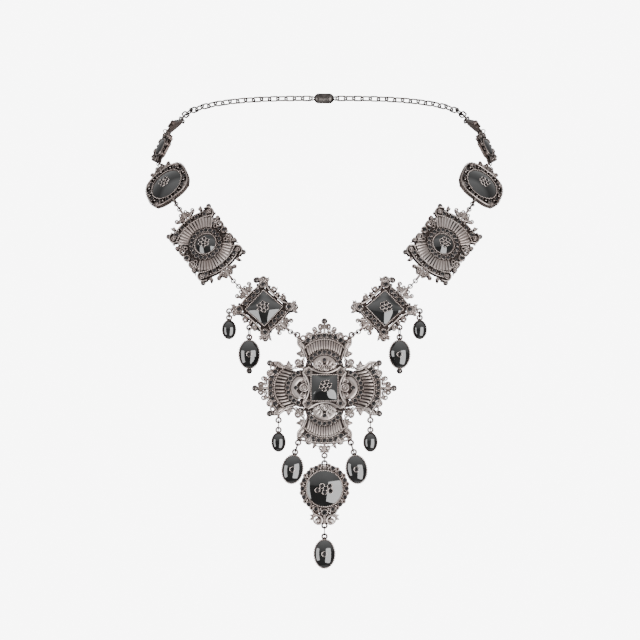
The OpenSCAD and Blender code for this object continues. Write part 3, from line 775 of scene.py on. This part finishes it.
def squareDomed(side, low, edge, rise, power=2.1, n=32):
    w = n + 1
    across = [math.sin(math.pi / 2 * (2 * i / n - 1)) for i in range(w)]
    rows = [(side / 2 * t, 1 - abs(t) ** power) for t in across]
    points = [(x, y, edge + rise * xSwell * ySwell) for y, ySwell in rows for x, xSwell in rows]
    faces = [(k, k + 1, k + w + 1, k + w) for j in range(n) for k in range(j * w, j * w + n)]
    rim = [*range(n)] + [n + j * w for j in range(n)]
    rim += [w * w - 1 - i for i in range(n)] + [(n - j) * w for j in range(n)]
    grid, m = len(points), len(rim)
    points += [(*points[k][:2], low) for k in rim]
    faces += [(rim[i], grid + i, grid + (i + 1) % m, rim[(i + 1) % m]) for i in range(m)]
    faces.append(tuple(grid + m - 1 - i for i in range(m)))
    return solid(points, faces)


# Joining the parts of one piece, and its place in the frame
def matrixOf(place):
    rows = [[axis[row] * mm for axis in (*place[1:], place[0])] for row in range(3)]
    return Matrix([*rows, (0, 0, 0, 1)])


def addPiece(name, meshes, place, material, body, old, mirrored):
    bm = bmesh.new()
    for mesh in meshes:
        bm.from_mesh(mesh)
    bm.transform(matrixOf(place))
    if mirrored:
        bm.transform(Matrix.Scale(-1, 4, (1, 0, 0)))
        bmesh.ops.reverse_faces(bm, faces=bm.faces)
    mesh = bpy.data.meshes.new(name)
    bm.to_mesh(mesh)
    bm.free()
    mesh.materials.clear()
    mesh.materials.append(material)
    mesh.polygons.foreach_set("material_index", [0] * len(mesh.polygons))
    for attribute in [a.name for a in mesh.attributes]:
        if attribute in ("halfWidth", "turn", "size", "UVMap"):
            mesh.attributes.remove(mesh.attributes[attribute])
    piece = bpy.data.objects.new(name, mesh)
    bpy.context.scene.collection.objects.link(piece)
    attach(piece, body)
    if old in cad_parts:
        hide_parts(old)


def paint(node, material):
    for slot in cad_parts[node].material_slots:
        slot.material = material


stoneMaterial = polished("jetStone", jet)
crystalMaterial = polished("hematiteCrystal", hematite)
beadMetal = wornMetal("beadMetal", (0.03, 0.026, 0.025, 1), (0.08, 0.07, 0.066, 1), 0.24)


def dress(name, place, casting, stone=None, body="root", pair=True):
    material = antiqueMetal(name + "Metal", place)
    parts = [("_relief", casting.metal(material), material, "antique_metal", "")]
    if casting.seats:
        cuts = casting.scatter("cutStone", crystalMaterial, casting.seats, crest["seatZ"])
        parts.append(("_cuts", [cuts], crystalMaterial, "crystal", "_crystals"))
    if casting.balls:
        spots = [((*c[0], z), (0, 0, 0), (r,) * 3) for c, r, z in casting.balls]
        balls = casting.put("ball", beadMetal, spots)
        parts.append(("_beads", [balls], beadMetal, "dark_metal", ""))
    if stone:
        parts.append(("_dome", [stone], stoneMaterial, "jet_stone", "_stone"))
    for side, mirrored in ((("_r", False), ("_l", True)) if pair else (("", False),)):
        node = name + side
        for label, meshes, finish, slot, old in parts:
            old = node + old if old else ""
            addPiece(node + label, meshes, place, finish, body, old, mirrored)
        paint(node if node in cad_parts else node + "_frame", material)
    print(name, "made")


# The small crystals on top of a stone, each held by fine prongs
flower = {
    "spots": [(0.2, 0.1), (1.9, 0.5), (0.7, 1.9), (-1.2, 1.5), (-1.8, -0.3), (-0.6, -1.6),
              (1.2, -1.4)],
    "size": 0.84, "top": 4.05, "sunk": 0.12,
    "prongs": [((0.85, 0.75), 0.34), ((-0.95, -0.6), 0.3)],
    "prongUp": 2.05,
}


def cluster(casting, drop=0.03, size=flower["size"], spots=flower["spots"], spacing=1,
            shift=(0, 0)):
    for x, y in spots:
        x, y = x * spacing + shift[0], y * spacing + shift[1]
        lift = flower["top"] - drop * (x * x + y * y) - flower["sunk"] - crest["seatZ"]
        casting.seat((x, y), size, lift)
        for (across, up), prong in flower["prongs"]:
            casting.bud((x + across * size, y + up * size), prong, lift + flower["prongUp"])
    return casting


# The square stones and the round ones, and lines of beading round them
squareStone = {"side": 11.6, "low": 1.25, "edge": 2.1, "rise": 1.9}
squareBeading = (squarePath(12.2), 0.8, 0.28)
roundStone = {"low": 1.25, "edge": 2.05, "rise": 2.0}


def ringPath(radius, n):
    return [*ovalPath(radius, radius, n), (radius, 0)]


# Flutes of a fan, as wide as their spacing asks
fluteShape = {"z": 1.7, "along": (0, 0.12, 0.5, 0.9, 1), "width": (0.6, 1, 1, 1, 0.8)}


def flutes(casting, n, a0, a1, foot, head, fill):
    step = (a1 - a0) / (n - 1)
    for a in spread(n, a0, a1):
        p, q = np.array(foot(a)), np.array(head(a))
        wide = [math.dist(end(a + step), end(a)) * part for end, part in zip((foot, head), fill)]
        widths = np.interp(fluteShape["along"], (0, 1), wide) * fluteShape["width"]
        line = [p + (q - p) * t for t in fluteShape["along"]]
        casting.line(line, widths / 2, fluteShape["z"], "flute")


# Cross: four fluted arms round a square stone; an arm is drawn with its axis along y
cross = {
    "fan": (42, 138),
    "foot": ((0, 9), 8.9),
    "head": ((0, 10.8), 11.3),
    "headTurn": (0.9, 9),
    "tallRibs": (15, (0.98, 0.98)),
    "wideRibs": (11, (0.6, 0.82)),
    "cheekBalls": [((24.6, 11.7),), ((24.6, -11.7),)],
    "flowerShift": (0.4, 0.3),
}
crossArm = {
    "band": [(arc((0, 10.8), 11.8, 38, 142, 28), 0.62, 0.9, 1.5),
             (arc((0, -8), 33.4, 69, 111, 18), 0.66),
             (arc((0, 17.3), 10.4, 226, 314, 24), 0.85, 0.6, 1.98)],
    "grain": [(arc((0, 10.8), 11.85, 38, 142, 28), 0.95, 0.36, 2.0),
              (arc((0, 9), 6.5, 16, 164, 20), 0.62, 0.22, 2.0)],
    "crescent": [((0, 9.1), 4.75, 4, 176, 2.7)],
    "seatRow": [((0, 9), 7.6, 9, 22, 158), ((0, 10.8), 13.5, 7, 57, 123, 1.0, 1.18)],
    "budRow": [((0, 10.8), 12.65, 6, 62.5, 117.5, 0.3), ((0, 10.8), 14.6, 6, 62.5, 117.5, 0.4)],
    "seat": [((0, 12.9), 1.0, 0.3)],
}
crossArmSide = {
    "band": [([(12.1, 23.4), (12, 20.5), (10.5, 18.6), (9.3, 16.4), (9.1, 14.2), (10.4, 12.6)],
              0.8, 0.6),
             ([(9.4, 18), (8.4, 16), (7.8, 13.4)], 0.55),
             ([(8.2, 23), (10, 21.6), (11.6, 22)], 0.5),
             # the arch over the top volute is set low, at 1.3, so the height colour paints it dark
             # as painted shadow
             ([(5.5, 24.5), (6.1, 25.5), (7.3, 25.8), (8.5, 25.1)], 0.75, 0.5, 1.3),
             ([(1.2, 26.2), (2.6, 26.9), (4.4, 26.3), (5.7, 25.3)], 0.5)],
    "plate": [([(9.5, 18.0), (10.6, 19.2), (11.5, 20.7), (11.4, 21.5), (10.0, 21.0),
                (8.9, 19.9)],)],
    "volute": [((7.1, 24.3), 1.5, 250, -1, 1.3, 0.75),
               ((11.5, 21.3), 1.15, 40, 1, 1.3, 0.75),
               ((11.4, 12.5), 1.15, 160, 1, 1.2, 0.5)],
    "spray": [((9.2, 16.0), 4, 3.6, 48, 2.3, lowZ)],
    "leaf": [((3.9, 25.6), 55, 2.6, 1.2, lowZ)],
    "seat": [((9.0, 21.4), 0.7), ((5.0, 24.2), 0.7)],
    "hoop": [((9.6, 23.4), 1.05, 0.42)],
}
almondMotif = {
    "middle": {
        "hoop": [((0, 9.2), 1.2, 0.46, 2.25)],
        "leaf": [((0, 8.0), 90, 2.4, 1.1, 2.2)],
    },
    "side": {
        "band": [([(0.6, 7.6), (1.9, 8.4), (1.9, 10.0), (0.9, 11.2)], 0.5, 0.5, 2.2),
                 ([(2.4, 8.2), (3.3, 9.2), (3.1, 10.6), (2.1, 11.6)], 0.6, 0.4, 2.2)],
        "leaf": [((3.9, 8.9), 62, 2.4, 0.8, 2.2),
                 *[(polar((0, 8.2), 2.6, a), a, 3.4, 1.3, 2.16) for a in (24, 48, 70)]],
    },
}
roundMotif = {
    "middle": {
        "hoop": [((0, 9.2), 1.8, 0.5, 2.25)],
        "volute": [((0, 9.2), 1.15, 90, 1, 1.3, 0.46, 2.25)],
    },
    "side": {
        "band": [([(1.9, 8.2), (3.3, 8.6), (3.9, 9.8), (3.0, 10.7), (2.3, 9.9)], 0.5, 0.5, 2.2)],
        "leaf": [((3.6, 8.4), 35, 1.9, 0.8, 2.2)],
    },
}
ballFinial = {
    "middle": {"ball": [((0, 31.2),)], "leaf": [((0, 25.4), 90, 4.8, 1.2)]},
    "side": {
        "volute": [((1.85, 28.7), 1.3, 235, -1, 1.3, 0.85, lowZ),
                   ((4.3, 27.4), 1.15, 270, 1, 1.25, 0.8, lowZ)],
        "band": [([(0.9, 26.4), (2.4, 26.1), (4.0, 26.3)], 0.8, 0.7, lowZ)],
        "leaf": [((0.9, 26.8), 25, 2.2, 0.8)],
    },
}
footFinial = {
    "middle": {"leaf": [((0, 25.4), 90, 4.8, 1.2)]},
    "side": {
        "volute": [((1.5, 27.6), 1.05, 235, -1, 1.3, 0.55)],
        "leaf": [((0.6, 28.8), 20, 1.6, 0.8), ((0.9, 26.8), 25, 2.2, 0.8)],
    },
}
crossCorner = {
    "seat": [((7.2, 7.2),), ((10.0, 10.1), 0.6, 0.3)],
    "hoop": [((7.2, 7.2), 1.6, 0.42)],
    "band": [([(5.2, 8.8), (7.2, 9.4), (8.8, 8.6), (9.6, 6.8), (9, 4.8)], 0.6),
             ([(8.6, 8.6), (11, 11.2)], 1.3, 0.8, lowZ)],
    "volute": [((11.9, 12.1), 1.55, 225, 1, 1.3, 0.95, lowZ),
               ((9.5, 12.6), 0.9, 300, 1, 1.2, 0.6, lowZ),
               ((12.6, 9.5), 0.9, 150, -1, 1.2, 0.6, lowZ)],
    "leaf": [((9.4, 9.9), 78, 3.4, 1.3, lowZ), ((9.9, 9.4), 12, 3.4, 1.3, lowZ)],
}


def fanArm(ribs, fill, motif):
    arm = Casting()
    scale, turn = cross["headTurn"]
    flutes(arm, ribs, *cross["fan"], lambda a: polar(*cross["foot"], a),
           lambda a: polar(*cross["head"], a * scale + turn), fill)
    return arm.draw(crossArm).drawBoth(motif).drawBoth({"side": crossArmSide})


def crossCasting():
    casting = Casting()
    casting.add(fanArm(*cross["tallRibs"], almondMotif), quarters[0], quarters[2])
    casting.add(fanArm(*cross["wideRibs"], roundMotif), quarters[1], quarters[3])
    casting.add(Casting().drawBoth(ballFinial), quarters[0], quarters[1], quarters[3])
    casting.add(Casting().drawBoth(footFinial), quarters[2])
    casting.add(Casting().draw(crossCorner), *corners)
    casting.drawBoth({"side": {"ball": cross["cheekBalls"]}})
    for eye in ("crossEyes", "crossSideEye", "crossLowEye"):
        for side in (1, -1):
            casting.eye((side * worn[eye][0], worn[eye][1]))
    casting.eye((0, worn["crossFootEye"] + worn["castEye"]))
    casting.grain(*squareBeading)
    return cluster(casting, shift=cross["flowerShift"])


dress("cross", places["cross"], crossCasting(), squareDomed(**squareStone), pair=False)


# Leaf and scrolls that a link ends in
def fleur(casting, reach, y0, gap, turn, length):
    y1 = reach - gap
    low = lowZ + 0.1
    x, y = polar((1.2, y0 + 0.4), length - 0.7, turn)
    casting.drawBoth({
        "middle": {"leaf": [((0, y0 - 1), 90, y1 - y0 + 1.2, 1.3)]},
        "side": {
            "volute": [((1.7, y0 + 1.5), 1.3, 230, -1, 1.3, 0.8, low),
                       ((x - 0.2, y + 0.5), 1.05, turn - 120, 1, 1.2, 0.7, low),
                       ((1.3, y0 + 3.3), 1.0, 200, 1, 1.2, 0.7, low),
                       ((2.9, y0 + 0.9), 0.8, 20, -1, 1.2, 0.6, low)],
            "band": [([(0.8, y0 - 0.4), (1.9, y0 - 0.1), (x, y)], 0.95, 0.7, low)],
            "leaf": [((0.5, y0 + 2.6), 62, 1.8, 0.8, low)],
            "bud": [((3.2, y0 + 0.2), 0.45)],
        },
    })


# A link whose ends mirror one another
def twoEnded(end, reach, link):
    fleur(end, reach, *link["fleur"])
    return Casting().add(end.drawBoth(link["end"]), same, mirrorY).draw(link["waist"])


# Square link: openwork round a square stone
squareLink = {
    "fleur": (10.4, 0.9, 38, 4.2),
    "end": {
        "middle": {
            "band": [([(-6, 9.35), (0, 9.95), (6, 9.35)], 0.55)],
            "seat": [((x, 7.85),) for x in (-3.75, -1.25, 1.25, 3.75)],
        },
        "side": {
            "seat": [((7.9, 8.3), 1.08), ((6.1, 9.9), 0.6), ((9.0, 5.3), 0.62)],
            "hoop": [((7.9, 8.3), 1.55, 0.4)],
            "band": [([(6.2, 9.4), (7.9, 10), (9.4, 9.4), (10, 7.6), (8.8, 6)], 0.55),
                     ([(8.6, 6.6), (7.9, 4), (7.7, 0)], 0.75, 0.8)],
            "volute": [((9.9, 10), 1.4, 225, 1, 1.3, 0.6), ((9.5, 3), 1.25, 90, -1, 1.3, 0.55)],
            "spray": [((8.3, 10.4), 78, 2.6), ((10.2, 8.2), 10, 2.4)],
            "leaf": [((9.9, 1.4), 35, 1.9, 0.7)],
            "bud": [((2.5, 8.9), 0.36), ((5.1, 8.7), 0.36)],
        },
    },
    "waist": {
        "leaf": [((7.6, 0), 0, 2.6, 1.0), ((-7.6, 0), 180, 2.6, 1.0)],
        "volute": [((9.6, 0), 0.8, 90, 1, 1.1, 0.4), ((-9.6, 0), 0.8, 90, -1, 1.1, 0.4)],
        "ball": [((-7.4, 12.2),)],
        "eye": [(worn["squareSideEye"],), (worn["squareCornerEye"],)],
        "grain": [squareBeading],
    },
}
squareCasting = cluster(twoEnded(Casting(), half["square"], squareLink))
dress("square_link", places["square"], squareCasting, squareDomed(**squareStone))

# Fan link: two fluted fans round a small round stone
fanLink = {
    "stone": {"a": 4.8, "b": 4.8, **roundStone},
    "ribs": (15, 39, 141),
    "foot": 8.3,
    "head": 13.2, "headTurn": 0.94, "fill": (0.98, 0.94),
    "fleur": (17, 0.9, 15, 4.2),
    "end": {
        "middle": {
            "band": [(arc((0, -5), 18.2, 57, 123, 20), 0.6, 0.9, 1.5),
                     (arc((0, -5), 21, 64, 116, 18), 0.6)],
            "grain": [(arc((0, -5), 18.2, 57, 123, 20), 0.95, 0.36, 2.0)],
            "seatRow": [((0, 0), 6.9, 7, 38, 142), ((0, -5), 19.6, 5, 66, 114)],
            "budRow": [((0, -5), 20.3, 4, 72, 108, 0.34)],
        },
        "side": {
            "band": [([(9.9, 10.2), (8.6, 8.2), (7.4, 6.4)], 0.6),
                     ([(9.7, 9.6), (11.5, 10.8), (12.1, 12.6), (11.3, 14.7), (9.2, 15.6)], 0.75),
                     ([(8.0, 4.4), (8.6, 5.6), (9.6, 6.2), (10.6, 6.9)], 0.5)],
            "volute": [((10.2, 12.7), 1.2, 270, 1, 1.3, 0.5), ((10.7, 4.2), 1.65, 60, 1, 1.4, 0.6),
                       ((11.7, 7.3), 1.0, 250, -1, 1.2, 0.45),
                       ((11.5, 1.9), 0.75, 120, 1, 1.1, 0.36)],
            "spray": [((7.0, 15.8), 50, 2.6), ((8.6, 7.6), -20, 2.2)],
            "leaf": [((11.6, 9.0), 60, 1.8, 0.7)],
            "seat": [((8.7, 13.6), 0.7), ((8.5, 6.4), 0.7), ((9.1, 2.3), 0.62)],
            "hoop": [((8.6, 4.4), 0.85, 0.4)],
            "bud": [((9.2, 8.3), 0.45), ((10.1, 6.5), 0.35)],
            "ball": [((11.6, 15.3), 1.2)],
        },
    },
    "waist": {
        "hoop": [((-10.8, 0), 1.5, 0.4), ((10.8, 0), 1.5, 0.4)],
        "seat": [((-10.8, 0), 1.1), *[(polar((0, 0), 6.9, a),) for a in (199, 180, 161)],
                 ((10.8, 0), 1.1), *[(polar((0, 0), 6.9, a),) for a in (-19, 0, 19)]],
        "grain": [(ringPath(5.25, 48), 0.72, 0.27, 2.1)],
    },
}
fanEnd = Casting()
flutes(fanEnd, *fanLink["ribs"], lambda a: polar((0, 0), fanLink["foot"], a),
       lambda a: polar((0, 0), fanLink["head"], 90 + (a - 90) * fanLink["headTurn"]),
       fanLink["fill"])
fanCasting = cluster(twoEnded(fanEnd, half["fan"], fanLink), 0.08, 0.78, spacing=0.95)
dress("fan_link", places["fan"], fanCasting, domed(**fanLink["stone"]))

# Shoulder link: a large round stone in a rounded square
shoulderLink = {
    "stone": {"a": 7.9, "b": 7.9, **roundStone},
    "ring": {
        "seatRow": [((0, 0), 9.75, 12, 15, 345)],
        "budRow": [((0, 0), 9.75, 12, 0, 330, 0.42)],
        "loop": [(roundedPath(10.75), 0.72)],
        "grain": [([*roundedPath(11.3, 96), (11.3, 0)], 1.1, 0.3, 1.7),
                  (ringPath(8.25, 64), 0.74, 0.28)],
        "leaf": [((0, -10.6), -90, half["shoulder"] - 10.6, 1.3)],
    },
    "corner": {
        "volute": [((8.3, 8.3), 1.05, 225, 1, 1.3, 0.5)],
        "leaf": [((8.4, 6.2), 70, 1.8, 0.8), ((6.2, 8.4), 20, 1.8, 0.8)],
    },
    "fleur": (11.4, 0.9, 12, 4.4),
}
shoulder = Casting().draw(shoulderLink["ring"])
shoulder.add(Casting().draw(shoulderLink["corner"]), *corners)
fleur(shoulder, half["shoulder"], *shoulderLink["fleur"])
cluster(shoulder, 0.032)
dress("shoulder_link", places["shoulder"], shoulder, domed(**shoulderLink["stone"]))

# Oval link: eight scrolls round a low oval stone with a broad rim
ovalLink = {
    "stone": {"a": 3.4, "b": 4.4, "low": 1.25, "edge": 2.15, "rise": 1.0, "fullness": 0.7},
    "metal": {
        "volute": [(onOval(6.3, 7.2, 45 * i + 22.5), 1.3, 45 * i + 202.5, 1, 1.2, 0.5)
                   for i in range(8)],
        "seat": [(onOval(5.7, 6.6, 45 * i), 0.66) for i in range(8)],
        "leaf": [((0, 7.0), 90, half["oval"] - 7.9, 1.1), ((6.6, 0), 0, 1.8, 0.9),
                 ((0, -7.0), -90, half["oval"] - 7.9, 1.1), ((-6.6, 0), 180, 1.8, 0.9)],
        "loop": [(ovalPath(3.9, 4.9, 48), 0.92, 1.72)],
    },
}
dress("oval_link", places["oval"], Casting().draw(ovalLink["metal"]), domed(**ovalLink["stone"]))

# End link: a tapered stem with two scrolls at its foot, ribbed on its back
reach = half["end"]
endLink = {
    "middle": {
        "leaf": [((0, -2), 90, reach + 1, 0.9),
                 *[((x, 1.2 - reach), turn, 2 * reach - 2.6, 1.1, -0.02)
                   for x, turn in ((-1.3, 84), (0, 90), (1.3, 96))]],
        "seat": [((0, -2.6), 0.8, 0.25)],
    },
    "side": {
        "band": [([(1, 1.4 - reach), (2.5, -3.6), (2.2, 0), (0.7, reach - 1)], 0.7)],
        "volute": [((2.9, -4.4), 1.1, 120, 1, 1.2, 0.45)],
    },
}
dress("end_link", places["end"], Casting().drawBoth(endLink))


# Rim and stone of an oval drop
def rimPath(drop, inset, n=48):
    return ovalPath(drop["a"] - inset, drop["b"] - inset, n)


def dropStone(drop):
    return domed(drop["a"] - drop["wall"], drop["b"] - drop["wall"], **drop["dome"])


# Large drops: a stone in a saw-toothed bezel, with one crystal on top
bigDrop = {"a": 4.9, "b": 6.65, "wall": 0.45, "top": 3.95,
           "dome": {"low": 0.85, "edge": 1.95, "rise": 2.0, "fullness": 0.8}}
bigDropParts = {
    "saw": [(rimPath(bigDrop, 0.1, 40), 0.74, 1.4)],
    "loop": [(rimPath(bigDrop, 0.25), 0.4, 1.75)],
    "hoop": [((0, 0), 1.2, 0.34, bigDrop["top"] - 0.05)],
    "seat": [((0, 0), 0.92, bigDrop["top"] - 0.4 - crest["seatZ"], False)],
    "leaf": [((0, bigDrop["b"] - 0.3), 90, 1.3, 1.7, 1.1)],
}
ballParts = {
    "ball": [((0, -bigDrop["b"] - 0.9), 1.4, 1.0)],
    "hoop": [((0, -bigDrop["b"] - 0.3), 0.7, 0.4, 1.2)],
}


def bigDropCasting(more, eyeZ=None):
    drop = Casting().draw(bigDropParts).draw(more)
    drop.eye((0, worn["bigEye"]), eyeZ)
    return drop


dress("cross_drop", places["crossDrop"], bigDropCasting({}), dropStone(bigDrop))
dress("link_drop", places["linkDrop"], bigDropCasting(ballParts), dropStone(bigDrop))
dress("foot_drop", places["foot"], bigDropCasting({}, worn["mainEyeZ"]), dropStone(bigDrop),
      "drop", False)

# Small drops: a plain rim round a tall stone
smallDrop = {"a": 3.25, "b": 4.4, "wall": 0.45,
             "dome": {"low": 0.85, "edge": 1.45, "rise": 1.6, "fullness": 0.6}}
smallDropParts = {
    "loop": [(rimPath(smallDrop, 0.22), 0.5, 1.4)],
    "leaf": [((0, smallDrop["b"] - 0.3), 90, 1.1, 1.3, 1.0)],
    "eye": [((0, worn["smallEye"]),)],
}
for name, place in (("cross_small_drop", "crossSmall"), ("link_small_drop", "linkSmall")):
    dress(name, places[place], Casting().draw(smallDropParts), dropStone(smallDrop))

# Main drop: a large round stone in a ring of crystals, over two scrolls
mainDrop = {
    "stone": {"a": 8, "b": 8, **roundStone},
    "middle": {
        "seat": [*[(polar((0, 0), 9.85, 22.5 * i), 1.02) for i in range(16) if i not in (4, 12)],
                 ((0, -10.7), 1.25)],
        "hoop": [(polar((0, 0), 10.35, 22.5 * i + 11.25), 0.72, 0.72, 1.62) for i in range(16)],
        "budRow": [((0, 0), 9.15, 16, 11.25, 348.75, 0.38, 2.1)],
        "web": [(ovalPath(9.9, 9.9, 64), 1.9, 0.95)],
        "leaf": [((0, 9.6), 90, 1.6, 1.8)],
        "eye": [((0, worn[eye]), worn["mainEyeZ"]) for eye in ("mainEyeUp", "mainLowEye")],
        "loop": [(ovalPath(8.3, 8.3, 72), 0.42, 1.85)],
        "saw": [(ovalPath(8.42, 8.42, 54), 0.85, 1.6)],
    },
    "side": {
        "volute": [((2.9, -14.4), 2.35, 50, 1, 1.15, 0.95, 1.8, 0.6)],
        "spray": [((4.2, -12.2), 10, 2.4)],
        "leaf": [((4.7, -13.5), -12, 1.9, 0.8)],
        "band": [([(5.8, -9.6), (4.7, -11.2), (3.3, -11.8)], 0.7)],
    },
    "cluster": [(-3.1, -0.6), (-1.1, 1.3), (2.4, 1.2), (0.1, -1.5), (2.7, -1.0), (0.5, 0.1)],
}
mainCasting = cluster(Casting().drawBoth(mainDrop), size=1.05, spots=mainDrop["cluster"])
dress("main_drop", places["main"], mainCasting, domed(**mainDrop["stone"]), "drop", False)

# Rings, chain and clasp
ringMetal = wornMetal("ringMetal", (0.02, 0.018, 0.017, 1), (0.075, 0.066, 0.062, 1), 0.26)
chainMetal = wornMetal("chainMetal", (0.03, 0.026, 0.024, 1), (0.1, 0.089, 0.084, 1), 0.28)
for node in ("rings_r", "rings_l", "main_ring", "foot_ring"):
    paint(node, ringMetal)
for node in ("chain_r", "chain_l", "clasp"):
    paint(node, chainMetal)
print("rings and chain finished")
